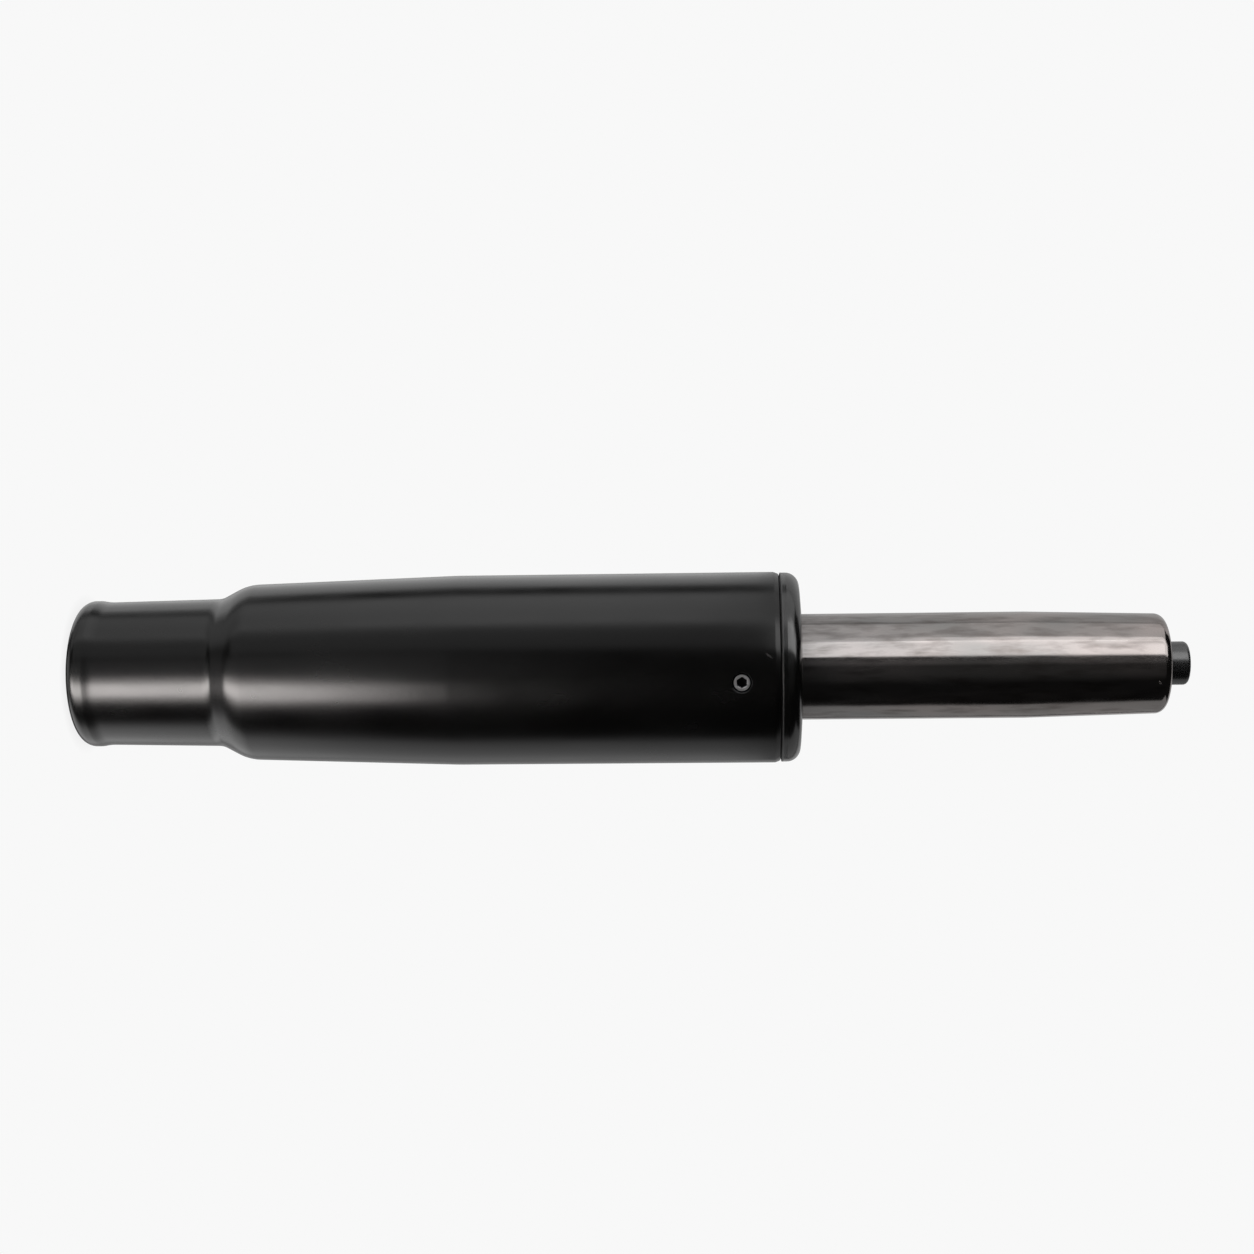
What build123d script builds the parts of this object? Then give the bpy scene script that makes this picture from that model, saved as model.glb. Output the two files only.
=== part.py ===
"""Gas lift column for a swivel chair, piece by piece, as it would come apart on a bench.

The column stands on +Z with its origin at the centre of its bottom lip, and is drawn fully extended.
Lengths are millimetres and angles are degrees. From the floor up:
a swaged steel tube holds a base plate and a thrust bearing in its neck; a piston rod turns on the
bearing; a gas tube slides on the rod and in a plastic guide bush; a release button at the top of the
gas tube pushes a pin that opens the valve.
"""

from build123d import *

import os
from math import radians, tan

# Clearances between pieces: sliding or turning fits, fits that stay put, and seals against their walls.
running_clearance = 0.06
seat_clearance = 0.05
seal_clearance = 0.04
# How far a cutting tool runs past the face that it cuts.
overrun = 1.0
# Largest part of a side that one rounded corner may take.
corner_share = 0.45

# Gas tube: ground steel, with the taper that a seat mechanism grips at its top end.
gas_tube_radius = 14.0
gas_tube_wall = 2.5
gas_tube_length = 204.1
seat_taper_length = 36.5
seat_taper_angle = 1.44
tip_wall = 2.0
tip_round = 3.0
gas_lip = 1.6
gas_lip_opening = 1.0
gas_foot_round = 1.5
stroke = 55.0
stop_gap = 0.3

# Column tube: painted steel with a swaged neck, a rolled bottom lip and a cone that seats in the base.
column_radius = 25.25
column_wall = 2.0
column_height = 186.7
neck_height = 38.0
neck_gap = 3.2
neck_spread = 0.18
shoulder_rise = 7.0
cone_height = 56.4
cone_angle = 1.82
lip_width = 5.0
lip_round = 3.2
lip_land = 0.4
crimp_depth = 0.4
crimp_reach = 2.4
crimp_blend = 5.0
waist_blend = 12.0
neck_blend = 6.3
shoulder_blend = 12.2
cone_blend = 60.0
top_edge_round = 0.6

# Base plate: a pressed steel cup that stands on the rolled lip and carries the bearing.
plate_wall = 2.5
dish_rise = 4.0
plate_rim = 5.0
plate_bend = 1.0

# Thrust bearing: two grooved races, a cage and its balls.
race_height = 2.2
race_rim = 1.6
ball_radius = 2.4
ball_count = 10
ball_pitch_radius = 9.5
race_groove = 0.7
ball_clearance = 0.1
cage_height = 1.6
cage_rim = 1.2
race_edge = 0.4

# Piston rod: hard chromed, stepped at both ends, with a groove for the retaining clip.
rod_radius = 5.0
stud_radius = 4.0
stud_clearance = 0.15
stud_tail = 1.7
stud_point = 0.6
clip_groove_depth = 0.9
clip_height = 1.1
clip_play = 0.05
clip_rim = 4.2
clip_mouth_share = 0.82
clip_washer_height = 1.5
clip_washer_gap = 2.3
swivel_play = 0.1
piston_stud_radius = 3.2
piston_stud_tail = 1.0

# Rubber bumper round the foot of the rod.
bumper_height = 11.7
bumper_rim = 6.3
bumper_waist = 0.9
bumper_round = 1.0

# Seal pack in the foot of the gas tube: support washer, lip seal, rod guide and foot ring.
seal_washer_height = 1.6
seal_washer_clearance = 0.3
rod_seal_height = 6.0
seal_lip_depth = 3.2
seal_lip_width = 1.1
rod_guide_height = 9.0
guide_edge = 0.6
foot_ring_height = 3.0
foot_ring_bore_share = 0.52
foot_spigot = 2.0
foot_slot_width = 2.0
foot_slot_depth = 1.4
foot_slot_count = 4

# Inner tube that the piston slides in; the gap round it is the bypass to the valve.
bypass_gap = 1.25
inner_tube_wall = 1.0

# Piston on top of the rod, with its ring, washer and nut.
piston_height = 9.0
piston_clearance = 0.08
piston_ring_height = 3.0
piston_ring_depth = 2.0
piston_edge = 0.5
piston_washer_height = 1.5
piston_washer_rim = 3.6
piston_nut_height = 4.0
piston_nut_flats = 10.0

# Valve at the top of the gas tube: housing, port ring and seat round a necked pin.
valve_housing_height = 22.0
nose_rim = 1.0
nose_stand = 0.35
port_ring_height = 6.0
port_radius = 0.9
port_count = 4
chamber_gap = 1.3
valve_seat_flange = 2.5
valve_seat_spigot = 5.5
valve_pin_radius = 2.0
pin_neck_depth = 0.6
pin_neck_length = 3.6
pin_neck_gap = 0.8
pin_head_rim = 1.3
pin_head_height = 2.5
pin_edge = 0.4
pin_seal_radius = 0.9
housing_seal_radius = 1.3
housing_seal_height = 5.0

# Release button on top of the valve pin.
button_radius = 5.7
button_stand = 6.0
button_length = 13.0
button_round = 1.2
button_socket = 4.5
button_travel = 3.0
button_stop_gap = 0.7

# Guide bush: black acetal, with a flange that caps the column and ribs that centre it.
flange_step = 0.2
flange_height = 5.0
flange_round = 3.6
flange_crown = 0.8
shadow_gap = 0.25
shadow_depth = 1.0
shadow_edge = 0.15
mouth_chamfer = 0.5
bush_collar = 26.0
bush_sleeve_wall = 2.6
bush_foot_gap = 5.0
bush_foot_ring = 5.0
rib_count = 8
rib_width = 2.0

# Set screw through the column wall into the collar of the bush, on the front of the column.
screw_drop = 10.1
screw_radius = 2.5
screw_length = 6.0
screw_sink = 0.35
screw_chamfer = 0.45
screw_point = 0.8
screw_clearance = 0.06
hex_flats = 2.5
hex_depth = 2.2
countersink = 0.35

# Radii that follow from the sizes above, from the gas tube outwards and inwards.
neck_bore = gas_tube_radius + neck_gap
crimp_radius = neck_bore + column_wall
lip_radius = crimp_radius + crimp_depth
neck_radius = lip_radius + neck_spread
plate_radius = neck_bore - seat_clearance
dish_radius = plate_radius - plate_rim
cone_radius = column_radius - cone_height * tan(radians(cone_angle))
column_bore = column_radius - column_wall
gas_bore = gas_tube_radius - gas_tube_wall
tip_radius = gas_tube_radius - seat_taper_length * tan(radians(seat_taper_angle))
inner_tube_radius = gas_bore - bypass_gap
inner_bore = inner_tube_radius - inner_tube_wall
pack_radius = gas_bore - seat_clearance
piston_radius = inner_bore - piston_clearance
race_radius = ball_pitch_radius + ball_radius + race_rim
stud_bore = stud_radius + stud_clearance
clip_groove_radius = stud_radius - clip_groove_depth
nose_radius = button_radius + running_clearance + nose_rim
pin_bore = valve_pin_radius + running_clearance
pin_seal_pocket = pin_bore + 2 * (pin_seal_radius + seal_clearance)
bush_bore = gas_tube_radius + running_clearance
bush_sleeve_radius = bush_bore + bush_sleeve_wall
bush_collar_radius = column_bore - seat_clearance
flange_radius = column_radius - flange_step

# Heights that follow from the sizes above, from the floor up.
crimp_foot = lip_round + lip_land
crimp_height = crimp_foot + crimp_reach
shoulder_height = neck_height + shoulder_rise
cone_top = shoulder_height + cone_height
plate_foot = column_wall
plate_underside = plate_foot + dish_rise
plate_top = plate_underside + plate_wall
ball_height = plate_top + race_height + ball_radius - race_groove
upper_race_foot = ball_height + ball_radius - race_groove
rod_shoulder = upper_race_foot + race_height
bumper_top = rod_shoulder + bumper_height
clip_washer_foot = plate_underside - swivel_play - clip_washer_height
clip_foot = clip_washer_foot - clip_height
stud_foot = clip_foot - clip_play - stud_tail
gas_foot = bumper_top + stop_gap + stroke
gas_top = gas_foot + gas_tube_length
seal_washer_foot = gas_foot + gas_lip
rod_seal_foot = seal_washer_foot + seal_washer_height
rod_guide_foot = rod_seal_foot + rod_seal_height
foot_ring_foot = rod_guide_foot + rod_guide_height
inner_tube_foot = foot_ring_foot + foot_ring_height
piston_shoulder = inner_tube_foot + foot_spigot + stop_gap
piston_foot = piston_shoulder + piston_washer_height
piston_nut_foot = piston_foot + piston_height
housing_top = gas_top - tip_wall
housing_foot = housing_top - valve_housing_height
port_ring_foot = housing_foot - port_ring_height
inner_tube_top = port_ring_foot - valve_seat_flange
valve_seat_foot = inner_tube_top - valve_seat_spigot
button_top = gas_top + button_stand
button_foot = button_top - button_length
button_well_foot = button_foot - button_travel - button_stop_gap
nose_top = gas_top + nose_stand
bush_foot = cone_top + bush_foot_gap
bush_collar_foot = column_height - bush_collar
screw_height = column_height - screw_drop


def fitted(rounding, *sides):
    """A corner's rounding, kept small enough for the shorter of the sides that meet there."""
    return min(rounding, *(corner_share * side for side in sides))


def turned(*outline):
    """Solid turned about Z from a closed outline of (radius, height) or (radius, height, rounding) points."""
    corners = [(point[0], 0, point[1]) for point in outline]
    roundings = [point[2] if len(point) > 2 else 0 for point in outline]
    section = make_face(FilletPolyline(*corners, radius=roundings, close=True))
    return revolve(section, Axis.Z)


def ring(inner, outer, foot, height, edge=0):
    """Plain turned ring, with its outer edges chamfered by edge."""
    top = foot + height
    if not edge:
        return turned((inner, foot), (outer, foot), (outer, top), (inner, top))
    return turned(
        (inner, foot),
        (outer - edge, foot),
        (outer, foot + edge),
        (outer, top - edge),
        (outer - edge, top),
        (inner, top),
    )


def round_ring(centre_radius, section_radius, height):
    """Ring of round section about Z, such as an O-ring or the cut of a ball groove."""
    section = Plane.XZ * Pos(centre_radius, height) * Circle(section_radius)
    return revolve(section, Axis.Z)


def across(length, radius, height):
    """Round bar of that length lying along -Y from the axis, at that height."""
    return Pos(0, -length / 2, height) * Rot(90, 0, 0) * Cylinder(radius, length)


def column_tube():
    """Swaged tube: rolled lip, crimp round the base plate, neck, shoulder, base cone and straight body."""
    opening = lip_radius - lip_width
    outside = [
        (opening, 0),
        (lip_radius, 0, lip_round),
        (lip_radius, crimp_foot, crimp_blend),
        (crimp_radius, crimp_height, waist_blend),
        (neck_radius, neck_height, neck_blend),
        (cone_radius, shoulder_height, shoulder_blend),
        (column_radius, cone_top, cone_blend),
        (column_radius, column_height, fitted(top_edge_round, 2 * column_wall)),
    ]
    inside = [
        (column_bore, column_height),
        (column_bore, cone_top, cone_blend),
        (cone_radius - column_wall, shoulder_height, shoulder_blend),
        (neck_radius - column_wall, neck_height, neck_blend),
        (neck_bore, crimp_height, waist_blend),
        (lip_radius - column_wall, crimp_foot, crimp_blend),
        (lip_radius - column_wall, plate_foot),
        (opening, plate_foot),
    ]
    tube = turned(*outside, *inside)
    hole = across(column_radius + overrun, screw_radius + screw_clearance, screw_height)
    hole_edge = screw_radius + screw_clearance
    bevel = Cone(hole_edge, hole_edge + countersink + overrun, countersink + overrun)
    bevel_place = Pos(0, -column_radius + (countersink - overrun) / 2, screw_height)
    return tube - hole - bevel_place * Rot(90, 0, 0) * bevel


def base_plate():
    """Pressed cup: its rim stands on the rolled lip, and its raised middle carries the lower race."""
    wall_outside = dish_radius + plate_wall
    bend = fitted(plate_bend, dish_rise, plate_wall)
    return turned(
        (stud_bore, plate_underside),
        (dish_radius, plate_underside, bend),
        (dish_radius, plate_foot, bend),
        (plate_radius, plate_foot, bend),
        (plate_radius, plate_foot + plate_wall),
        (wall_outside, plate_foot + plate_wall, bend),
        (wall_outside, plate_top, bend),
        (stud_bore, plate_top),
    )


def race(foot, bore):
    """Grooved washer of the thrust bearing."""
    blank = ring(bore, race_radius, foot, race_height, race_edge)
    return blank - round_ring(ball_pitch_radius, ball_radius + ball_clearance, ball_height)


def ball_places():
    """Centres of the balls, evenly spaced round the pitch circle."""
    return PolarLocations(ball_pitch_radius, ball_count)


def ball_cage():
    """Flat ring with a round pocket for each ball."""
    inner = ball_pitch_radius - ball_radius - cage_rim
    outer = ball_pitch_radius + ball_radius + cage_rim
    blank = ring(inner, outer, ball_height - cage_height / 2, cage_height)
    pocket = Cylinder(ball_radius + ball_clearance, cage_height + overrun)
    return blank - [Pos(0, 0, ball_height) * place * pocket for place in ball_places()]


def bearing_balls():
    """The loose balls, one solid each."""
    return Compound([Pos(0, 0, ball_height) * place * Sphere(ball_radius) for place in ball_places()])


def bumper():
    """Rubber ring with a drawn-in waist, which stops the gas tube softly at the end of its travel."""
    inner = rod_radius + seat_clearance
    outer = inner + bumper_rim
    middle = rod_shoulder + bumper_height / 2
    corner = fitted(bumper_round, bumper_rim, bumper_height / 2)
    return turned(
        (inner, rod_shoulder),
        (outer, rod_shoulder, corner),
        (outer - bumper_waist, middle, corner),
        (outer, bumper_top, corner),
        (inner, bumper_top),
    )


def clip_washer():
    """Hardened washer between the retaining clip and the underside of the base plate."""
    outer = dish_radius - clip_washer_gap
    return ring(stud_radius + seat_clearance, outer, clip_washer_foot, clip_washer_height)


def retaining_clip():
    """Flat spring clip, open at one side, that snaps into the groove of the stud."""
    bore = clip_groove_radius + seat_clearance
    outer = clip_groove_radius + clip_rim
    blank = ring(bore, outer, clip_foot, clip_height)
    mouth_length = outer + overrun
    mouth = Box(2 * clip_mouth_share * bore, mouth_length, clip_height + overrun)
    return blank - Pos(0, mouth_length / 2, clip_foot + clip_height / 2) * mouth


def piston_rod():
    """Rod with a lower stud for the bearing and clip, and an upper stud for the piston."""
    stud_top = piston_nut_foot + piston_nut_height + piston_stud_tail
    groove_top = clip_washer_foot
    groove_foot = clip_foot - clip_play
    return turned(
        (0, stud_foot),
        (stud_radius - stud_point, stud_foot),
        (stud_radius, stud_foot + stud_point),
        (stud_radius, groove_foot),
        (clip_groove_radius, groove_foot),
        (clip_groove_radius, groove_top),
        (stud_radius, groove_top),
        (stud_radius, rod_shoulder),
        (rod_radius, rod_shoulder),
        (rod_radius, piston_shoulder),
        (piston_stud_radius, piston_shoulder),
        (piston_stud_radius, stud_top),
        (0, stud_top),
    )


def piston():
    """Sealed piston with a groove round it for its ring."""
    bore = piston_stud_radius + seat_clearance
    groove_foot = piston_foot + (piston_height - piston_ring_height) / 2
    groove_top = groove_foot + piston_ring_height
    groove_radius = piston_radius - piston_ring_depth
    return turned(
        (bore, piston_foot),
        (piston_radius - piston_edge, piston_foot),
        (piston_radius, piston_foot + piston_edge),
        (piston_radius, groove_foot),
        (groove_radius, groove_foot),
        (groove_radius, groove_top),
        (piston_radius, groove_top),
        (piston_radius, piston_nut_foot - piston_edge),
        (piston_radius - piston_edge, piston_nut_foot),
        (bore, piston_nut_foot),
    )


def piston_ring():
    """Square-section ring that wipes the inner tube."""
    inner = piston_radius - piston_ring_depth + seal_clearance
    foot = piston_foot + (piston_height - piston_ring_height) / 2 + seal_clearance
    return ring(inner, inner_bore - seal_clearance, foot, piston_ring_height - 2 * seal_clearance)


def piston_washer():
    """Washer between the shoulder of the rod and the piston."""
    bore = piston_stud_radius + seat_clearance
    return ring(bore, bore + piston_washer_rim, piston_shoulder, piston_washer_height)


def piston_nut():
    """Hexagonal lock nut on the upper stud."""
    hexagon = RegularPolygon(piston_nut_flats / 2, 6, major_radius=False)
    section = hexagon - Circle(piston_stud_radius + seat_clearance)
    return Pos(0, 0, piston_nut_foot) * extrude(section, piston_nut_height)


def gas_tube():
    """Outer tube of the gas spring: rolled foot, straight running length, seat taper and closed-in tip."""
    foot_opening = rod_radius + gas_lip_opening
    tip_opening = nose_radius + seat_clearance
    return turned(
        (foot_opening, gas_foot),
        (gas_tube_radius, gas_foot, fitted(gas_foot_round, gas_tube_radius - foot_opening)),
        (gas_tube_radius, gas_top - seat_taper_length),
        (tip_radius, gas_top, fitted(tip_round, tip_radius - tip_opening)),
        (tip_opening, gas_top),
        (tip_opening, housing_top),
        (gas_bore, housing_top),
        (gas_bore, seal_washer_foot),
        (foot_opening, seal_washer_foot),
    )


def seal_washer():
    """Steel washer that backs the lip seal against the rolled foot of the gas tube."""
    return ring(rod_radius + seal_washer_clearance, pack_radius, seal_washer_foot, seal_washer_height)


def rod_seal():
    """Rubber seal round the rod, with a V-shaped lip open to the gas."""
    inner = rod_radius + seal_clearance
    outer = gas_bore - seal_clearance
    middle = (inner + outer) / 2
    return turned(
        (inner, rod_seal_foot),
        (outer, rod_seal_foot),
        (outer, rod_guide_foot),
        (middle + seal_lip_width, rod_guide_foot),
        (middle, rod_guide_foot - seal_lip_depth),
        (middle - seal_lip_width, rod_guide_foot),
        (inner, rod_guide_foot),
    )


def rod_guide():
    """Bronze bush that guides the rod."""
    return ring(rod_radius + running_clearance, pack_radius, rod_guide_foot, rod_guide_height, guide_edge)


def foot_ring():
    """Ring that centres the inner tube, slotted so that gas passes from the bypass to the rod side."""
    spigot_radius = inner_bore - seat_clearance
    inner = rod_radius + foot_ring_bore_share * (spigot_radius - rod_radius)
    blank = turned(
        (inner, foot_ring_foot),
        (pack_radius, foot_ring_foot),
        (pack_radius, inner_tube_foot),
        (spigot_radius, inner_tube_foot),
        (spigot_radius, inner_tube_foot + foot_spigot),
        (inner, inner_tube_foot + foot_spigot),
    )
    slot_height = foot_slot_depth + foot_spigot + overrun
    slot_length = pack_radius + overrun
    slot = Pos(slot_length / 2, 0, inner_tube_foot - foot_slot_depth + slot_height / 2)
    slot *= Box(slot_length, foot_slot_width, slot_height)
    return blank - [Rot(0, 0, turn * 360 / foot_slot_count) * slot for turn in range(foot_slot_count)]


def inner_tube():
    """Honed tube between the foot ring and the valve seat."""
    return ring(inner_bore, inner_tube_radius, inner_tube_foot, inner_tube_top - inner_tube_foot)


def valve_seat():
    """Plug in the top of the inner tube, with a pocket for the lower pin seal."""
    spigot_radius = inner_bore - seat_clearance
    pocket_foot = port_ring_foot - 2 * (pin_seal_radius + seal_clearance)
    return turned(
        (pin_bore, valve_seat_foot),
        (spigot_radius, valve_seat_foot),
        (spigot_radius, inner_tube_top),
        (inner_tube_radius, inner_tube_top),
        (inner_tube_radius, port_ring_foot),
        (pin_seal_pocket, port_ring_foot),
        (pin_seal_pocket, pocket_foot),
        (pin_bore, pocket_foot),
    )


def port_ring():
    """Spacer round the necked length of the pin, with ports out to the bypass."""
    blank = ring(valve_pin_radius + chamber_gap, inner_tube_radius, port_ring_foot, port_ring_height)
    port = across(inner_tube_radius + overrun, port_radius, port_ring_foot + port_ring_height / 2)
    return blank - [Rot(0, 0, turn * 360 / port_count) * port for turn in range(port_count)]


def valve_housing():
    """Turned housing: well for the button, guide for the pin, pocket below and O-ring groove outside."""
    well_radius = button_radius + running_clearance
    pocket_top = housing_foot + 2 * (pin_seal_radius + seal_clearance)
    groove_foot = housing_foot + housing_seal_height - housing_seal_radius - seal_clearance
    groove_top = housing_foot + housing_seal_height + housing_seal_radius + seal_clearance
    groove_radius = pack_radius - 2 * housing_seal_radius
    return turned(
        (pin_seal_pocket, housing_foot),
        (pack_radius, housing_foot),
        (pack_radius, groove_foot),
        (groove_radius, groove_foot),
        (groove_radius, groove_top),
        (pack_radius, groove_top),
        (pack_radius, housing_top),
        (nose_radius, housing_top),
        (nose_radius, nose_top),
        (well_radius, nose_top),
        (well_radius, button_well_foot),
        (pin_bore, button_well_foot),
        (pin_bore, pocket_top),
        (pin_seal_pocket, pocket_top),
    )


def housing_seal():
    """O-ring between the valve housing and the bore of the gas tube."""
    section_radius = housing_seal_radius - seal_clearance / 2
    centre_radius = gas_bore - seal_clearance - section_radius
    return round_ring(centre_radius, section_radius, housing_foot + housing_seal_height)


def pin_seal(foot):
    """O-ring round the valve pin, in a pocket that starts at that height."""
    centre_radius = (valve_pin_radius + pin_seal_pocket) / 2
    return round_ring(centre_radius, pin_seal_radius, foot + pin_seal_radius + seal_clearance)


def valve_pin():
    """Pin with a necked length that opens the lower seal, and a head that stops it at rest."""
    pin_top = button_foot + button_socket - seat_clearance
    neck_foot = port_ring_foot + pin_neck_gap
    neck_top = neck_foot + pin_neck_length
    neck_radius = valve_pin_radius - pin_neck_depth
    head_top = valve_seat_foot - swivel_play
    head_foot = head_top - pin_head_height
    head_radius = valve_pin_radius + pin_head_rim
    return turned(
        (0, head_foot),
        (head_radius - pin_edge, head_foot),
        (head_radius, head_foot + pin_edge),
        (head_radius, head_top),
        (valve_pin_radius, head_top),
        (valve_pin_radius, neck_foot),
        (neck_radius, neck_foot + pin_neck_depth),
        (neck_radius, neck_top - pin_neck_depth),
        (valve_pin_radius, neck_top),
        (valve_pin_radius, pin_top - pin_edge),
        (valve_pin_radius - pin_edge, pin_top),
        (0, pin_top),
    )


def release_button():
    """Round-edged button, with a socket below for the end of the valve pin."""
    socket_radius = valve_pin_radius + seat_clearance
    socket_top = button_foot + button_socket
    return turned(
        (0, socket_top),
        (socket_radius, socket_top),
        (socket_radius, button_foot),
        (button_radius, button_foot),
        (button_radius, button_top, fitted(button_round, button_radius, button_stand)),
        (0, button_top),
    )


def guide_bush():
    """Moulded bush: crowned flange on top of the column, solid collar, thin sleeve with ribs, foot ring."""
    flange_foot = column_height + shadow_gap
    flange_top = column_height + flange_height
    crown_top = flange_top + flange_crown
    neck = flange_radius - shadow_depth
    corner = min(flange_round, flange_height - shadow_gap - 2 * shadow_edge)
    body = turned(
        (bush_bore, bush_foot),
        (bush_sleeve_radius, bush_foot),
        (bush_sleeve_radius, bush_collar_foot),
        (bush_collar_radius, bush_collar_foot),
        (bush_collar_radius, column_height),
        (neck, column_height),
        (neck, flange_foot),
        (flange_radius, flange_foot, shadow_edge),
        (flange_radius, flange_top, corner),
        (bush_bore + mouth_chamfer, crown_top),
        (bush_bore, crown_top - mouth_chamfer),
    )
    foot = ring(bush_bore, bush_collar_radius, bush_foot, bush_foot_ring)
    rib_height = bush_collar_foot - bush_foot
    rib_inner = bush_bore + bush_sleeve_wall / 2
    rib = Box(bush_collar_radius - rib_inner, rib_width, rib_height)
    rib = Pos((bush_collar_radius + rib_inner) / 2, 0, bush_foot + rib_height / 2) * rib
    rib &= ring(rib_inner, bush_collar_radius, bush_foot, rib_height)
    ribs = [Rot(0, 0, turn * 360 / rib_count) * rib for turn in range(rib_count)]
    hole_depth = screw_sink + screw_length + screw_clearance
    hole = Cylinder(screw_radius + screw_clearance, hole_depth)
    hole_place = Pos(0, -column_radius + hole_depth / 2, screw_height) * Rot(90, 0, 0)
    return body + foot + ribs - hole_place * hole


def set_screw():
    """Grub screw with a hexagon socket, sunk just under the surface at the front of the column."""
    outer_end = screw_sink
    inner_end = screw_sink + screw_length
    blank = turned(
        (0, inner_end),
        (screw_radius - screw_point, inner_end),
        (screw_radius, inner_end - screw_point),
        (screw_radius, outer_end + screw_chamfer),
        (screw_radius - screw_chamfer, outer_end),
        (0, outer_end),
    )
    hexagon = RegularPolygon(hex_flats / 2, 6, major_radius=False)
    socket = Pos(0, 0, outer_end) * extrude(hexagon, hex_depth)
    return Pos(0, -column_radius, screw_height) * Rot(-90, 0, 0) * (blank - socket)


pieces = {
    "column_tube": column_tube(),
    "base_plate": base_plate(),
    "guide_bush": guide_bush(),
    "set_screw": set_screw(),
    "lower_race": race(plate_top, stud_bore),
    "ball_cage": ball_cage(),
    "bearing_balls": bearing_balls(),
    "upper_race": race(upper_race_foot, stud_radius + seat_clearance),
    "bumper": bumper(),
    "clip_washer": clip_washer(),
    "retaining_clip": retaining_clip(),
    "piston_rod": piston_rod(),
    "piston_washer": piston_washer(),
    "piston": piston(),
    "piston_ring": piston_ring(),
    "piston_nut": piston_nut(),
    "gas_tube": gas_tube(),
    "seal_washer": seal_washer(),
    "rod_seal": rod_seal(),
    "rod_guide": rod_guide(),
    "foot_ring": foot_ring(),
    "inner_tube": inner_tube(),
    "valve_seat": valve_seat(),
    "port_ring": port_ring(),
    "valve_housing": valve_housing(),
    "housing_seal": housing_seal(),
    "lower_pin_seal": pin_seal(port_ring_foot - 2 * (pin_seal_radius + seal_clearance)),
    "upper_pin_seal": pin_seal(housing_foot),
    "valve_pin": valve_pin(),
    "release_button": release_button(),
}

os.makedirs("parts", exist_ok=True)
for name, piece in pieces.items():
    export_step(piece, f"parts/{name}.step")
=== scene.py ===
from math import acos, cos, pi, radians, sin, tan

import bmesh
import bpy
import numpy as np
from mathutils import Matrix, Vector


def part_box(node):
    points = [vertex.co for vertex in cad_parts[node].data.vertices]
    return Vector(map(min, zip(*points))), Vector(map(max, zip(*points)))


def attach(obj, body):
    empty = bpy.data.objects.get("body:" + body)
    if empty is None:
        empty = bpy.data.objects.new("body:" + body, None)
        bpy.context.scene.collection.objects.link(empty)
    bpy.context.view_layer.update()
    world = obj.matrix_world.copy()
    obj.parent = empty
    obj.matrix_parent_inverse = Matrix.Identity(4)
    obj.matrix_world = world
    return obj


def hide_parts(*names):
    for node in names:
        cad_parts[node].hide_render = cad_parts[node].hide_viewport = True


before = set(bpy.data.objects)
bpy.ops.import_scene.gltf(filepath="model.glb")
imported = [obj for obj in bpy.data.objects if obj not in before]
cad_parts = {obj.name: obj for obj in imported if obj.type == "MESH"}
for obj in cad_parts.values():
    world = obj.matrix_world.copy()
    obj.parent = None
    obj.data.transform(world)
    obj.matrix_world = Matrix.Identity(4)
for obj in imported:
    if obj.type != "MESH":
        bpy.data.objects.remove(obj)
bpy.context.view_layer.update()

# Camera: half a metre in front of the lift and lying on its side, so that the lift runs across the
# picture with its button on the right. Its place and lens come from fitting the outline in the photo.
mm = 0.001
photo_side_px = 1254
sensor_width = 36.0
focal_px = 1937.2
lip_px = (86.9, 673.8)
lip_depth = 523.8 * mm
button_end_nearer = radians(2.963)
axis_tilt = radians(-0.627)
screw_turn = radians(7.8)

sight_x = (lip_px[0] - photo_side_px / 2) * lip_depth / focal_px
sight_y = (lip_px[1] - photo_side_px / 2) * lip_depth / focal_px
lip_in_sight = Vector((sight_x, sight_y, lip_depth))
axis_in_sight = Vector((
    cos(button_end_nearer) * cos(axis_tilt),
    cos(button_end_nearer) * sin(axis_tilt),
    -sin(button_end_nearer),
))
away_in_sight = (Vector((0, 0, 1)) - axis_in_sight * axis_in_sight.z).normalized()
down_in_sight = away_in_sight.cross(axis_in_sight)
to_lift = Matrix.Rotation(-screw_turn, 3, "Z") @ Matrix((down_in_sight, away_in_sight, axis_in_sight))
camera_right = to_lift @ Vector((1, 0, 0))
camera_up = to_lift @ Vector((0, -1, 0))
camera_back = to_lift @ Vector((0, 0, -1))
toward_camera = Matrix.Rotation(-screw_turn, 3, "Z") @ Vector((0, -1, 0))
up_picture = Matrix.Rotation(-screw_turn, 3, "Z") @ Vector((-1, 0, 0))

camera = bpy.data.objects.new("camera", bpy.data.cameras.new("camera"))
camera.data.lens = sensor_width * focal_px / photo_side_px
camera.data.sensor_width = sensor_width
camera.matrix_world = Matrix.Translation(-(to_lift @ lip_in_sight)) @ Matrix(
    (camera_right, camera_up, camera_back)
).transposed().to_4x4()
bpy.context.scene.collection.objects.link(camera)
bpy.context.scene.camera = camera


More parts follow.
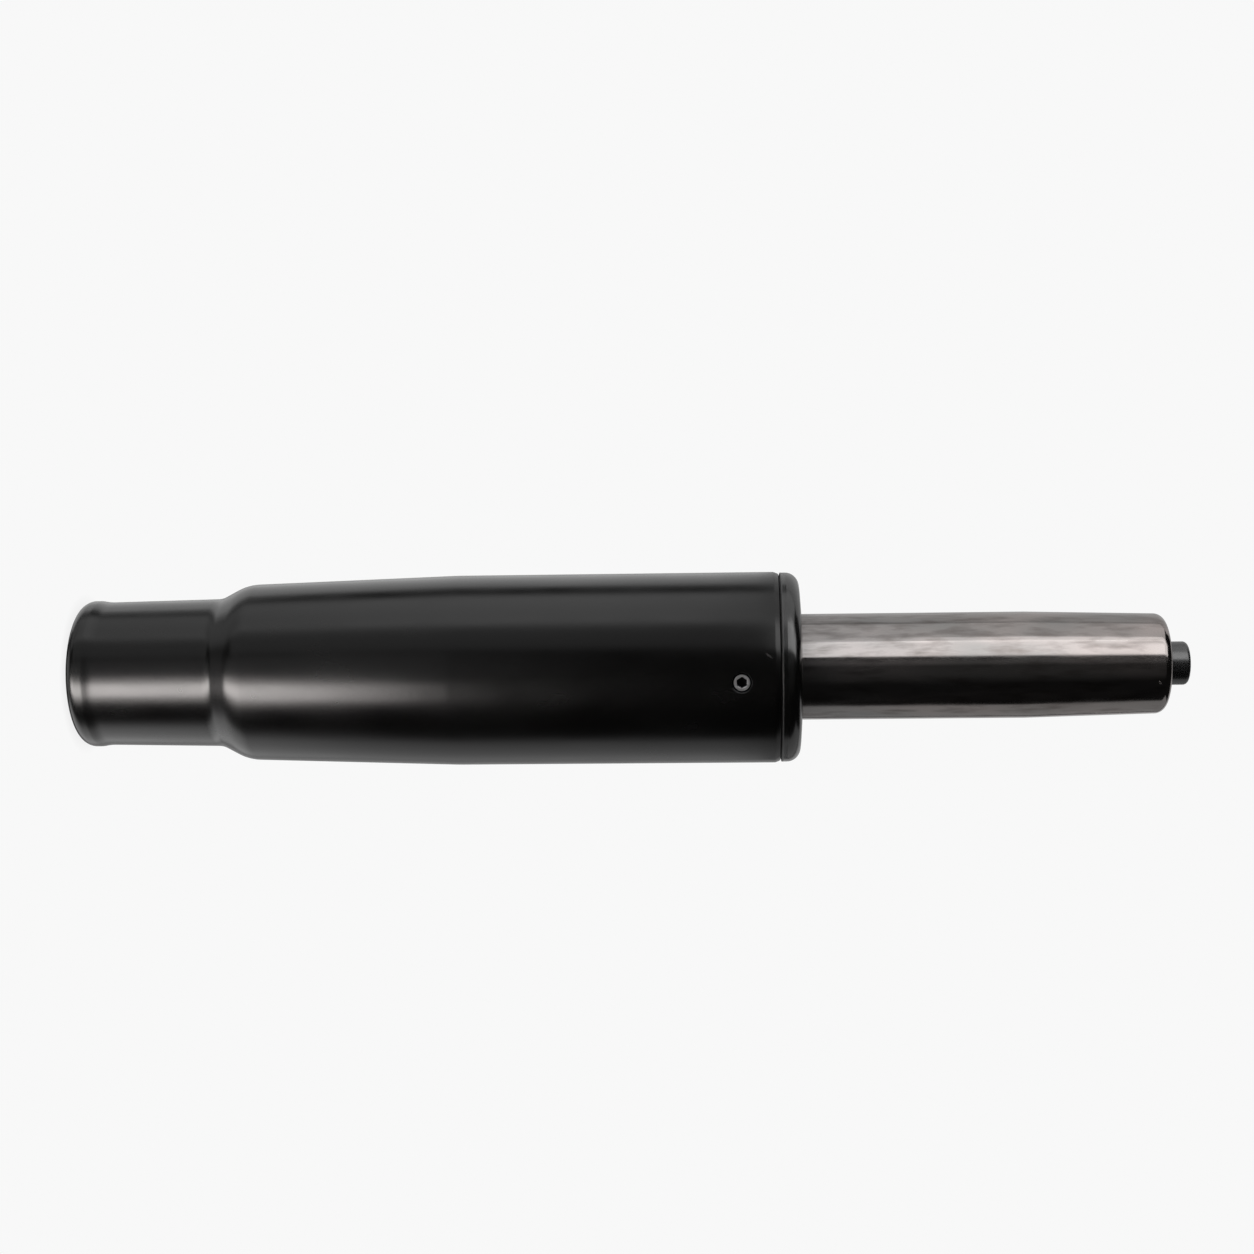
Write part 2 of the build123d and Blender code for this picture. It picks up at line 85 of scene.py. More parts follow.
# Column tube: a steel tube swaged down to its neck, rolled in at the lip and squeezed onto the base
# plate. It is powder coated black and drilled near the top for the set screw.
column_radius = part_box("column_tube")[1].x
column_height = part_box("column_tube")[1].z
column_wall = 2.0 * mm
crimp_radius = 19.2 * mm
lip_radius = 19.6 * mm
lip_opening = 14.6 * mm
lip_round = 3.2 * mm
crimp_foot = 4.7 * mm
crimp_height = 7.0 * mm
neck_radius = 19.78 * mm
neck_height = 38.0 * mm
cone_radius = 23.458 * mm
shoulder_height = 45.0 * mm
cone_top = 101.4 * mm
crimp_blend = 4.0 * mm
waist_blend = 12.0 * mm
neck_blend = 6.3 * mm
shoulder_blend = 12.2 * mm
cone_blend = 60.0 * mm
top_edge_reach = 1.4 * mm
top_edge_drop = 0.5 * mm
top_edge_blend = 1.0 * mm
top_edge_round = 0.6 * mm
screw_height = 176.6 * mm
screw_hole_radius = 2.56 * mm
countersink = 0.14 * mm
steps_round = 288
hole_patch_steps = 14


def rounded(*corners, turn_step=radians(5)):
    """Outline through (radius, height, rounding) corners.

    A rounding r at a corner whose sides meet at angle a starts r / tan(a / 2) from it. It is an arc
    about the point r / sin(a / 2) along the bisector, in steps of at most turn_step.
    """
    points = [np.array(corner[:2], float) for corner in corners]
    outline = []
    for i, corner in enumerate(corners):
        if len(corner) < 3:
            outline.append(points[i])
            continue
        to_last = points[i - 1] - points[i]
        to_next = points[(i + 1) % len(points)] - points[i]
        to_last, to_next = to_last / np.hypot(*to_last), to_next / np.hypot(*to_next)
        half = acos(to_last @ to_next) / 2
        middle = to_last + to_next
        centre = points[i] + middle / np.hypot(*middle) * corner[2] / sin(half)
        start = points[i] + to_last * corner[2] / tan(half) - centre
        end = points[i] + to_next * corner[2] / tan(half) - centre
        swing = np.arctan2(start[0] * end[1] - start[1] * end[0], start @ end)
        turns = np.linspace(0, swing, int(abs(swing) / turn_step) + 2)
        across = start[0] * np.cos(turns) - start[1] * np.sin(turns)
        along = start[0] * np.sin(turns) + start[1] * np.cos(turns)
        outline.extend(centre + np.column_stack((across, along)))
    return np.array(outline)


def lathe(outline, steps=steps_round):
    """Grid of a closed outline turned about Z: point (r, z) at turn t lies at (r cos t, r sin t, z).

    Rows follow the outline, columns follow the turn from +Y round, and both close on themselves.
    """
    turn = np.arange(steps) * 2 * pi / steps + pi / 2
    r, z = outline[:, :1], outline[:, 1:]
    points = np.stack((r * np.cos(turn), r * np.sin(turn), z + 0 * turn), axis=-1)
    number = np.arange(len(outline) * steps).reshape(-1, steps)
    below, beside = np.roll(number, -1, axis=0), np.roll(number, -1, axis=1)
    return points.reshape(-1, 3), np.stack((number, beside, np.roll(below, -1, axis=1), below), axis=-1)


def make_piece(name, points, faces, crease=radians(35)):
    """Mesh object of those points and faces: coincident points are merged and faces turned outwards."""
    mesh = bpy.data.meshes.new(name)
    mesh.from_pydata(points.tolist(), [], faces.reshape(-1, faces.shape[-1]).tolist())
    shape = bmesh.new()
    shape.from_mesh(mesh)
    bmesh.ops.remove_doubles(shape, verts=shape.verts, dist=0.001 * mm)
    bmesh.ops.recalc_face_normals(shape, faces=shape.faces)
    shape.to_mesh(mesh)
    shape.free()
    mesh.shade_smooth()
    mesh.set_sharp_from_angle(angle=crease)
    piece = bpy.data.objects.new(name, mesh)
    bpy.context.scene.collection.objects.link(piece)
    return piece


def colour(srgb):
    """Linear colour of an sRGB hex: c / 12.92 up to 0.04045, and ((c + 0.055) / 1.055) ** 2.4 above."""
    parts = np.array([int(srgb[i:i + 2], 16) for i in (1, 3, 5)]) / 255
    linear = np.where(parts <= 0.04045, parts / 12.92, ((parts + 0.055) / 1.055) ** 2.4)
    return (*linear, 1.0)


def add(tree, kind, inputs=None, **settings):
    """Adds a node to a node tree. Settings are its own fields; inputs are values, or sockets to link from."""
    made = tree.nodes.new("ShaderNode" + kind)
    for field, value in settings.items():
        setattr(made, field, value)
    for socket, value in (inputs or {}).items():
        if isinstance(value, bpy.types.NodeSocket):
            tree.links.new(value, made.inputs[socket])
        else:
            made.inputs[socket].default_value = value
    return made


def new_material(name):
    """Empty node material and its tree."""
    material = bpy.data.materials.new(name)
    material.use_nodes = True
    material.node_tree.nodes.clear()
    return material, material.node_tree


def speckle(tree, size, stretch=(1, 1, 1), detail=3.0, seed=0.0):
    """Noise about 0.5 in Object coordinates, with blotches of that size, drawn out by stretch."""
    place = add(tree, "TexCoord").outputs["Object"]
    scale = [1 / (size * part) for part in stretch]
    mapped = add(tree, "Mapping", {"Vector": place, "Scale": scale, "Location": (seed, seed, seed)})
    return add(tree, "TexNoise", {"Vector": mapped.outputs[0], "Scale": 1.0, "Detail": detail}).outputs["Fac"]


# Nearly all of a speckle lies between these two values.
speckle_range = {"From Min": 0.3, "From Max": 0.7}


def round_axis(angle, radius, height):
    """Point at that angle round the axis from the camera, where up the picture is positive."""
    return (toward_camera * cos(angle) + up_picture * sin(angle)) * radius + Vector((0, 0, height))


def scratch(tree, centre, length, width, lean):
    """Mask of one short mark on the surface: 1 inside an ellipse about centre, 0 outside, with a ragged edge.

    The distance from centre is told in half lengths along the mark, which leans from the axis of the
    lift, and in half widths across it.
    """
    out = Vector((centre.x, centre.y, 0)).normalized()
    side = Vector((0, 0, 1)).cross(out)
    along = Vector((0, 0, 1)) * cos(lean) + side * sin(lean)
    turn = Matrix((along, out.cross(along), out)).transposed().to_euler()
    place = add(tree, "TexCoord").outputs["Object"]
    local = add(tree, "Mapping", {"Vector": place, "Location": centre, "Rotation": turn,
                                  "Scale": (length / 2, width / 2, length / 2)}, vector_type="TEXTURE")
    away = add(tree, "VectorMath", {0: local.outputs[0]}, operation="LENGTH").outputs["Value"]
    ragged = add(tree, "Math", {0: away, 1: speckle(tree, width / 2)}, operation="ADD").outputs[0]
    fade = {"From Min": 0.9, "From Max": 1.4, "To Min": 1.0, "To Max": 0.0}
    return add(tree, "MapRange", {"Value": ragged, **fade}).outputs["Result"]


scuff_place = round_axis(radians(7.8), column_radius, 183.5 * mm)
scuff_length = 2.9 * mm
scuff_width = 0.9 * mm
scuff_lean = radians(41)


def powder_coat():
    """Black polyester powder coat, sprayed and baked: satin, with a faint orange peel that softens light.

    One small scuff near the top shows grey.
    """
    material, tree = new_material("black powder coat")
    shade = add(tree, "Mix", {
        "Factor": scratch(tree, scuff_place, scuff_length, scuff_width, scuff_lean),
        "A": colour("#030303"),
        "B": colour("#303030"),
    }, data_type="RGBA")
    cloud = speckle(tree, 9 * mm, stretch=(1, 1, 2))
    rough = add(tree, "MapRange", {"Value": cloud, **speckle_range, "To Min": 0.22, "To Max": 0.28})
    peel = speckle(tree, 1.1 * mm, detail=1.0)
    grain = speckle(tree, 0.25 * mm, detail=2.0)
    peeled = add(tree, "Bump", {"Height": peel, "Strength": 0.10, "Distance": 0.05 * mm})
    grained = add(tree, "Bump", {"Height": grain, "Strength": 0.12, "Distance": 0.01 * mm,
                                 "Normal": peeled.outputs[0]})
    shader = add(tree, "BsdfPrincipled", {
        "Base Color": shade.outputs[2],
        "Roughness": rough.outputs["Result"],
        "IOR": 1.5,
        "Normal": grained.outputs[0],
    })
    add(tree, "OutputMaterial", {"Surface": shader.outputs[0]})
    return material


hole_rows = screw_height + column_radius * 2 * pi / steps_round * (
    np.arange(hole_patch_steps + 1) - hole_patch_steps / 2)
column_bore = column_radius - column_wall
column_outline = rounded(
    (lip_opening, 0),
    (lip_radius, 0, lip_round),
    (lip_radius, crimp_foot, crimp_blend),
    (crimp_radius, crimp_height, waist_blend),
    (neck_radius, neck_height, neck_blend),
    (cone_radius, shoulder_height, shoulder_blend),
    (column_radius, cone_top, cone_blend),
    *((column_radius, z) for z in hole_rows),
    (column_radius, column_height - top_edge_reach, top_edge_blend),
    (column_radius - top_edge_drop, column_height, top_edge_round),
    (column_bore, column_height),
    *((column_bore, z) for z in hole_rows[::-1]),
    (column_bore, cone_top, cone_blend),
    (cone_radius - column_wall, shoulder_height, shoulder_blend),
    (neck_radius - column_wall, neck_height, neck_blend),
    (crimp_radius - column_wall, crimp_height, waist_blend),
    (lip_radius - column_wall, crimp_foot, crimp_blend),
    (lip_radius - column_wall, column_wall),
    (lip_opening, column_wall),
)


def drilled(points, faces, outline):
    """Opens a countersunk hole through a turned wall at the screw's height, on the -Y side.

    A square of faces is left out of the outer and the inner wall. Rings of points run from one
    square's border to the other's: x and z blend from the square to the hole's circle, and y is
    -sqrt(R ** 2 - x ** 2) on the wall of radius R.
    """
    middle, half = steps_round // 2, hole_patch_steps // 2
    columns = np.arange(middle - half, middle + half + 1)
    kept = np.ones(faces.shape[:2], bool)
    borders = []
    for wall in (column_radius, column_bore):
        on_wall = np.isclose(outline[:, 0], wall) & np.isin(outline[:, 1], hole_rows)
        rows = np.flatnonzero(on_wall)[np.argsort(outline[on_wall, 1])]
        kept[rows.min():rows.max(), columns[0]:columns[-1]] = False
        number = rows[:, None] * steps_round + columns
        borders.append(np.concatenate((number[0, :-1], number[:-1, -1], number[-1, :0:-1], number[:0:-1, 0])))
    outer, inner = (points[border] for border in borders)
    around = np.arctan2(outer[:, 2] - screw_height, outer[:, 0])
    mouth, throat = screw_hole_radius + countersink, screw_hole_radius

    def circle(radius, wall):
        x, z = radius * np.cos(around), screw_height + radius * np.sin(around)
        return np.column_stack((x, -np.sqrt(wall ** 2 - x ** 2), z))

    def between(square, hole, share, wall):
        ring = square + (hole - square) * share
        ring[:, 1] = -np.sqrt(wall ** 2 - ring[:, 0] ** 2)
        return ring

    mouth_ring = circle(mouth, column_radius)
    inner_ring = circle(throat, column_bore)
    ring_shares = (0.35, 0.65, 0.88)
    rings = [between(outer, mouth_ring, share, column_radius) for share in ring_shares]
    rings += [mouth_ring, circle(throat, column_radius - countersink), inner_ring]
    rings += [between(inner, inner_ring, share, column_bore) for share in ring_shares[::-1]]
    fresh = len(points) + np.arange(len(rings) * len(around)).reshape(len(rings), -1)
    loops = np.vstack((borders[0], fresh, borders[1]))
    after = np.roll(loops, -1, axis=1)
    tunnel = np.stack((loops[:-1], after[:-1], after[1:], loops[1:]), axis=-1).reshape(-1, 4)
    return np.vstack((points, *rings)), np.vstack((faces[kept], tunnel))


column_shell = make_piece("column_shell", *drilled(*lathe(column_outline), column_outline))
column_shell.data.materials.append(powder_coat())
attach(column_shell, "column")
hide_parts("column_tube")


# Base plate and clip washer: pressed steel, zinc plated and blue passivated. The plate stands on the
# rolled lip of the column; the washer lies under it, held by the clip.
def lathe_marks(tree, pitch):
    """Noise that depends only on height and distance from the axis, as the marks of a turned face do."""
    place = add(tree, "TexCoord").outputs["Object"]
    parts = add(tree, "SeparateXYZ", {"Vector": place})
    flat = add(tree, "CombineXYZ", {"X": parts.outputs["X"], "Y": parts.outputs["Y"]}).outputs[0]
    away = add(tree, "VectorMath", {0: flat}, operation="LENGTH").outputs["Value"]
    section = add(tree, "CombineXYZ", {"X": away, "Z": parts.outputs["Z"]}).outputs[0]
    return add(tree, "TexNoise", {"Vector": section, "Scale": 1 / pitch, "Detail": 2.0}).outputs["Fac"]


def worked_metal(name, dark, light, roughness, pitch, depth, blotch=4 * mm):
    """Bare metal: its colour drifts between two shades in blotches; its marks follow the lathe or grinder.

    The marks run from smooth to rough, the two values of roughness.
    """
    material, tree = new_material(name)
    smooth, rough = roughness
    drift = add(tree, "MapRange", {"Value": speckle(tree, blotch), **speckle_range}).outputs["Result"]
    tint = add(tree, "Mix", {"Factor": drift, "A": colour(dark), "B": colour(light)}, data_type="RGBA")
    marks = lathe_marks(tree, pitch)
    gloss = add(tree, "MapRange", {"Value": marks, **speckle_range, "To Min": smooth, "To Max": rough})
    cut = add(tree, "Bump", {"Height": marks, "Strength": 0.3, "Distance": depth})
    shader = add(tree, "BsdfPrincipled", {
        "Base Color": tint.outputs[2],
        "Metallic": 1.0,
        "Roughness": gloss.outputs["Result"],
        "Normal": cut.outputs[0],
    })
    add(tree, "OutputMaterial", {"Surface": shader.outputs[0]})
    return material


def coat_nodes(material, *names):
    """Gives CAD nodes that material in every slot."""
    for name in names:
        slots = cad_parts[name].data.materials
        slots.clear()
        slots.append(material)


zinc_plate = worked_metal(
    "blue zinc plate", "#a9aeb4", "#c6c9c6", (0.28, 0.42), 0.6 * mm, 0.02 * mm, blotch=2 * mm)
coat_nodes(zinc_plate, "base_plate", "clip_washer", "piston_washer", "piston_nut", "seal_washer")


# Thrust bearing: races and balls of hardened bearing steel, ground and polished, with a stamped brass cage.
bearing_steel = worked_metal(
    "polished bearing steel", "#a3a3a6", "#bcbcbe", (0.08, 0.16), 0.3 * mm, 0.005 * mm)
cage_brass = worked_metal("stamped brass", "#b08a4a", "#c9a55f", (0.22, 0.34), 0.5 * mm, 0.02 * mm)
coat_nodes(bearing_steel, "lower_race", "upper_race", "bearing_balls")
coat_nodes(cage_brass, "ball_cage")


# Piston rod and valve pin: hard chromed and polished, so nearly a mirror. The clip that holds the rod
# in the base plate is spring steel, blackened in hot oxide.
hard_chrome = worked_metal("hard chrome", "#b9babd", "#c8c9cb", (0.04, 0.09), 0.3 * mm, 0.002 * mm)
spring_steel = worked_metal(
    "blackened spring steel", "#2c2c2d", "#3c3c3d", (0.26, 0.38), 0.4 * mm, 0.01 * mm)
coat_nodes(hard_chrome, "piston_rod", "valve_pin")
coat_nodes(spring_steel, "retaining_clip")


# Bumper and seals: moulded rubber; the seals are nitrile and shine a little with oil.
def moulded_rubber(name, shade, roughness):
    """Black rubber from a mould: dull, with a fine grain and a paler bloom in patches."""
    material, tree = new_material(name)
    smooth, rough = roughness
    bloom = add(tree, "MapRange", {"Value": speckle(tree, 2 * mm), **speckle_range}).outputs["Result"]
    tint = add(tree, "Mix", {"Factor": bloom, "A": colour("#101010"), "B": colour(shade)}, data_type="RGBA")
    grain = speckle(tree, 0.3 * mm)
    gloss = add(tree, "MapRange", {"Value": grain, **speckle_range, "To Min": smooth, "To Max": rough})
    grained = add(tree, "Bump", {"Height": grain, "Strength": 0.3, "Distance": 0.03 * mm})
    shader = add(tree, "BsdfPrincipled", {
        "Base Color": tint.outputs[2],
        "Roughness": gloss.outputs["Result"],
        "IOR": 1.52,
        "Normal": grained.outputs[0],
    })
    add(tree, "OutputMaterial", {"Surface": shader.outputs[0]})
    return material


bumper_rubber = moulded_rubber("bumper rubber", "#262626", (0.6, 0.75))
nitrile = moulded_rubber("oiled nitrile", "#1a1a1a", (0.3, 0.45))
coat_nodes(bumper_rubber, "bumper")
coat_nodes(nitrile, "piston_ring", "rod_seal", "housing_seal", "lower_pin_seal", "upper_pin_seal")


# Piston, foot ring, valve seat and port ring: turned from aluminium bar, with fine tool marks.
turned_aluminium = worked_metal("turned aluminium", "#bcbfc2", "#cfd1d2", (0.22, 0.34), 0.4 * mm, 0.02 * mm)
coat_nodes(turned_aluminium, "piston", "foot_ring", "valve_seat", "port_ring")


# Rod guide and inner tube: a sintered bronze bush, and a steel tube honed inside for the piston ring.
sintered_bronze = worked_metal("sintered bronze", "#8f6a45", "#a98257", (0.40, 0.55), 0.5 * mm, 0.02 * mm)
honed_steel = worked_metal("honed steel", "#a2a3a5", "#b6b7b8", (0.18, 0.28), 0.3 * mm, 0.01 * mm)
coat_nodes(sintered_bronze, "rod_guide")
coat_nodes(honed_steel, "inner_tube")


# Valve housing: turned steel. Only its nose shows, as a thin ring round the root of the button.
housing_steel = worked_metal("turned valve steel", "#98928c", "#b0aaa4", (0.20, 0.32), 0.4 * mm, 0.02 * mm)
coat_nodes(housing_steel, "valve_housing")


# Guide bush: moulded in black acetal and pressed into the column, where the set screw pins it. Only its
# crowned flange shows; the flange is glossier than the paint, and a thin shadow gap parts the two.
shadow_gap = 0.25 * mm
flange_foot = column_height + shadow_gap
flange_edge = 0.5 * mm


def moulded_acetal():
    """Black acetal from a polished mould: glossy, with faint flow lines round the part.

    The flange's lower edge, where the mould parts, is trimmed and dull.
    """
    material, tree = new_material("moulded black acetal")
    flow = speckle(tree, 3 * mm, stretch=(1, 1, 0.15))
    place = add(tree, "TexCoord").outputs["Object"]
    upwards = add(tree, "SeparateXYZ", {"Vector": place}).outputs["Z"]
    moulded = add(tree, "MapRange", {"Value": flow, **speckle_range, "To Min": 0.15, "To Max": 0.22})
    trimmed = add(tree, "MapRange", {
        "Value": upwards,
        "From Min": flange_foot,
        "From Max": flange_foot + flange_edge,
        "To Min": 0.45,
        "To Max": 0.0,
    })
    gloss = add(tree, "Math", {0: moulded.outputs["Result"], 1: trimmed.outputs["Result"]}, operation="ADD")
    wavy = add(tree, "Bump", {"Height": flow, "Strength": 0.08, "Distance": 0.05 * mm})
    shader = add(tree, "BsdfPrincipled", {
        "Base Color": colour("#040404"),
        "Roughness": gloss.outputs[0],
        "IOR": 1.53,
        "Specular IOR Level": 1.0,
        "Normal": wavy.outputs[0],
    })
    add(tree, "OutputMaterial", {"Surface": shader.outputs[0]})
    return material


coat_nodes(moulded_acetal(), "guide_bush")


# Set screw: a grub screw of blackened steel with a hexagon socket. It sits just under the surface of
# the column, and its face is painted pale, a painted sheen for the light it catches.
screw_radius = 2.5 * mm
screw_length = 6.0 * mm
screw_sink = 0.35 * mm
screw_chamfer = 0.45 * mm
screw_point = 0.8 * mm
socket_flats = 2.5 * mm
socket_depth = 2.2 * mm
socket_edge = 0.12 * mm
steps_round_screw = 96


def black_oxide():
    """Steel blackened in hot oxide and oiled: dark, with a painted sheen where the screw's face is painted
    pale.

    The painted sheen is told by its depth and by its distance from the screw's own axis.
    """
    material, tree = new_material("black oxide steel")
    place = add(tree, "TexCoord").outputs["Object"]
    flat = add(tree, "VectorMath", {0: place, 1: (1, 0, 1)}, operation="MULTIPLY").outputs[0]
    away = add(tree, "VectorMath", {0: flat, 1: (0, 0, screw_height)}, operation="DISTANCE").outputs["Value"]
    inwards = add(tree, "SeparateXYZ", {"Vector": place}).outputs["Y"]
    face_depth = screw_sink + socket_edge - column_radius
    face_radius = screw_radius - screw_chamfer
    masks = []
    for value, start in ((inwards, face_depth), (away, face_radius)):
        fade = {"From Min": start, "From Max": start + socket_edge, "To Min": 1.0, "To Max": 0.0}
        masks.append(add(tree, "MapRange", {"Value": value, **fade}).outputs["Result"])
    # Painted sheen: a pale ring of colour on the screw's face stands for the light it catches.
    painted_sheen = add(tree, "Math", {0: masks[0], 1: masks[1]}, operation="MULTIPLY").outputs[0]
    tint = add(tree, "Mix", {
        "Factor": painted_sheen,
        "A": colour("#1c1c1d"),
        "B": colour("#c2c2c4"),
    }, data_type="RGBA")
    oil = speckle(tree, 0.6 * mm)
    gloss = add(tree, "MapRange", {"Value": oil, **speckle_range, "To Min": 0.30, "To Max": 0.38})
    shader = add(tree, "BsdfPrincipled", {
        "Base Color": tint.outputs[2],
        "Metallic": 0.9,
        "Roughness": gloss.outputs["Result"],
    })
    add(tree, "OutputMaterial", {"Surface": shader.outputs[0]})
    return material


def socket_screw():
    """Rings of a grub screw, from the middle of its socket out over its face and back along its shank.

    A hexagon of half-width w has radius w / cos(a) at angle a from the middle of its nearest side;
    the other rings are circles. Depth runs inwards from the surface of the column.
    """
    around = np.arange(steps_round_screw) * 2 * pi / steps_round_screw
    from_side = around % (pi / 3) - pi / 6
    hexagon = socket_flats / 2 / np.cos(from_side)
    face, floor, end = screw_sink, screw_sink + socket_depth, screw_sink + screw_length
    rings = [
        (0 * around, floor + socket_edge),
        (hexagon, floor),
        (hexagon, face + socket_edge),
        (hexagon + socket_edge, face),
        (screw_radius - screw_chamfer + 0 * around, face),
        (screw_radius + 0 * around, face + screw_chamfer),
        (screw_radius + 0 * around, end - screw_point),
        (screw_radius - screw_point + 0 * around, end),
        (0 * around, end),
    ]
    points = [np.column_stack((
        r * np.cos(around), depth - column_radius + 0 * r, screw_height + r * np.sin(around)
    )) for r, depth in rings]
    number = np.arange(len(rings) * steps_round_screw).reshape(len(rings), -1)
    after = np.roll(number, -1, axis=1)
    return np.vstack(points), np.stack((number[:-1], after[:-1], after[1:], number[1:]), axis=-1)


grub_screw = make_piece("grub_screw", *socket_screw(), crease=radians(25))
grub_screw.data.materials.append(black_oxide())
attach(grub_screw, "column")
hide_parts("set_screw")


# Gas tube: a steel tube, centreless ground and then burnished to a warm grey. Its foot is rolled in over
# the seals, and its last stretch narrows to the taper that wedges in the seat mechanism.
gas_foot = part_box("gas_tube")[0].z
gas_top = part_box("gas_tube")[1].z
gas_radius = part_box("gas_tube")[1].x
gas_wall = 2.5 * mm
gas_lip = 1.6 * mm
gas_foot_opening = 6.0 * mm
gas_foot_round = 1.5 * mm
seat_taper_length = 36.5 * mm
seat_taper_angle = radians(1.44)
tip_radius = gas_radius - seat_taper_length * tan(seat_taper_angle)
tip_opening = 6.81 * mm
tip_wall = 2.0 * mm
tip_round = 2.82 * mm
cool_height = 200.0 * mm
warm_height = 240.0 * mm
nick_place = round_axis(radians(-21), tip_radius, gas_top - 3.6 * mm)
nick_length = 1.4 * mm
nick_width = 0.5 * mm
nick_lean = radians(50)


def ground_steel():
    """Ground and burnished steel: clear reflections, drawn-out smudges along it, fine marks round it.

    The marks are drawn 0.3 mm apart, because real ones are too fine to show. A thin film dulls it in
    patches, its grey turns cooler near the column, and a small nick near the tip is bright.
    """
    material, tree = new_material("burnished steel")
    smudge = speckle(tree, 3 * mm, stretch=(1, 1, 6), detail=4.0)
    stain = speckle(tree, 9 * mm, stretch=(1, 1, 3), detail=2.0, seed=7.0)
    film = speckle(tree, 2.2 * mm, stretch=(1, 1, 4), detail=3.0, seed=3.0)
    stained = add(tree, "MapRange", {"Value": stain, **speckle_range}).outputs["Result"]
    tint = add(tree, "Mix", {
        "Factor": stained,
        "A": colour("#979492"),
        "B": colour("#b0a7a4"),
    }, data_type="RGBA")
    filmed = add(tree, "MapRange", {"Value": film, "From Min": 0.46, "From Max": 0.78}).outputs["Result"]
    soiled = add(tree, "Mix", {
        "Factor": filmed,
        "A": tint.outputs[2],
        "B": colour("#7d7673"),
    }, data_type="RGBA")
    place = add(tree, "TexCoord").outputs["Object"]
    upwards = add(tree, "SeparateXYZ", {"Vector": place}).outputs["Z"]
    fade = {"From Min": cool_height, "From Max": warm_height, "To Min": 1.0, "To Max": 0.0}
    cooled = add(tree, "Mix", {
        "Factor": add(tree, "MapRange", {"Value": upwards, **fade}).outputs["Result"],
        "A": soiled.outputs[2],
        "B": colour("#f8fdff"),
    }, data_type="RGBA", blend_type="MULTIPLY")
    gloss = add(tree, "MapRange", {"Value": smudge, **speckle_range, "To Min": 0.08, "To Max": 0.20})
    nick = scratch(tree, nick_place, nick_length, nick_width, nick_lean)
    marks = lathe_marks(tree, 0.3 * mm)
    ground = add(tree, "Bump", {"Height": marks, "Strength": 0.05, "Distance": 0.01 * mm})
    struck = add(tree, "Bump", {"Height": nick, "Strength": 0.6, "Distance": 0.15 * mm,
                                "Normal": ground.outputs[0]})
    shader = add(tree, "BsdfPrincipled", {
        "Base Color": cooled.outputs[2],
        "Metallic": 1.0,
        "Roughness": gloss.outputs["Result"],
        "Normal": struck.outputs[0],
    })
    add(tree, "OutputMaterial", {"Surface": shader.outputs[0]})
    return material


gas_outline = rounded(
    (gas_foot_opening, gas_foot),
    (gas_radius, gas_foot, gas_foot_round),
    (gas_radius, gas_top - seat_taper_length),
    (tip_radius, gas_top, tip_round),
    (tip_opening, gas_top),
    (tip_opening, gas_top - tip_wall),
    (gas_radius - gas_wall, gas_top - tip_wall),
    (gas_radius - gas_wall, gas_foot + gas_lip),
    (gas_foot_opening, gas_foot + gas_lip),
)
gas_shell = make_piece("gas_shell", *lathe(gas_outline))
gas_shell.data.materials.append(ground_steel())
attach(gas_shell, "gas_cylinder")
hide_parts("gas_tube")


# Release button: moulded in matte black nylon and pressed onto the valve pin. Its edge is well rounded,
# where the lever of the seat mechanism rubs it.
button_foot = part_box("release_button")[0].z
button_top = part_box("release_button")[1].z
button_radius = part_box("release_button")[1].x
button_round = 1.2 * mm
button_socket = 4.5 * mm
button_socket_radius = 2.05 * mm
steps_round_button = 128


def matte_nylon():
    """Black nylon from a spark-eroded mould: matte, with a fine even grain."""
    material, tree = new_material("matte black nylon")
    grain = speckle(tree, 0.3 * mm, detail=2.0)
    gloss = add(tree, "MapRange", {"Value": grain, **speckle_range, "To Min": 0.24, "To Max": 0.31})
    grained = add(tree, "Bump", {"Height": grain, "Strength": 0.06, "Distance": 0.03 * mm})
    shader = add(tree, "BsdfPrincipled", {
        "Base Color": colour("#1c1c1d"),
        "Roughness": gloss.outputs["Result"],
        "IOR": 1.62,
        "Specular IOR Level": 1.0,
        "Normal": grained.outputs[0],
    })
    add(tree, "OutputMaterial", {"Surface": shader.outputs[0]})
    return material


button_outline = rounded(
    (0, button_foot + button_socket),
    (button_socket_radius, button_foot + button_socket),
    (button_socket_radius, button_foot),
    (button_radius, button_foot),
    (button_radius, button_top, button_round),
    (0, button_top),
)
button_cap = make_piece("button_cap", *lathe(button_outline, steps=steps_round_button))
button_cap.data.materials.append(matte_nylon())
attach(button_cap, "release")
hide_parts("release_button")


# Studio: a pale floor and a round pale room, lit evenly so that they look alike. The floor has a painted
# contact shadow only where the lift nearly touches it. Neither is part of the lift, and neither shows in its
# gloss.
pale = colour("#f8f8f8")
room_radius = 3.0
room_steps = 96
floor_height = -0.02 * mm
contact_reach = 3 * mm
contact_light = 0.9


def glow(name, nearby=None):
    """Even pale light. With nearby, it darkens where something stands closer than that: a painted contact
    shadow.
    """
    material, tree = new_material(name)
    light = pale
    if nearby:
        # Painted contact shadow: ambient occlusion darkens the floor's glow near the lift.
        seen = add(tree, "AmbientOcclusion", {"Distance": nearby}, samples=16).outputs["AO"]
        shade = add(tree, "MapRange", {"Value": seen, "To Min": contact_light}).outputs["Result"]
        mixed = add(tree, "Mix", {"Factor": shade, "A": colour("#000000"), "B": pale}, data_type="RGBA")
        light = mixed.outputs[2]
    shader = add(tree, "Emission", {"Color": light, "Strength": 1.0})
    add(tree, "OutputMaterial", {"Surface": shader.outputs[0]})
    material.cycles.emission_sampling = "NONE"
    return material


def stage_piece(name, points, faces, material):
    """Staged mesh that only the camera sees."""
    piece = make_piece(name, points, faces)
    piece.data.materials.append(material)
    for ray in ("diffuse", "glossy", "transmission", "volume_scatter", "shadow"):
        setattr(piece, "visible_" + ray, False)


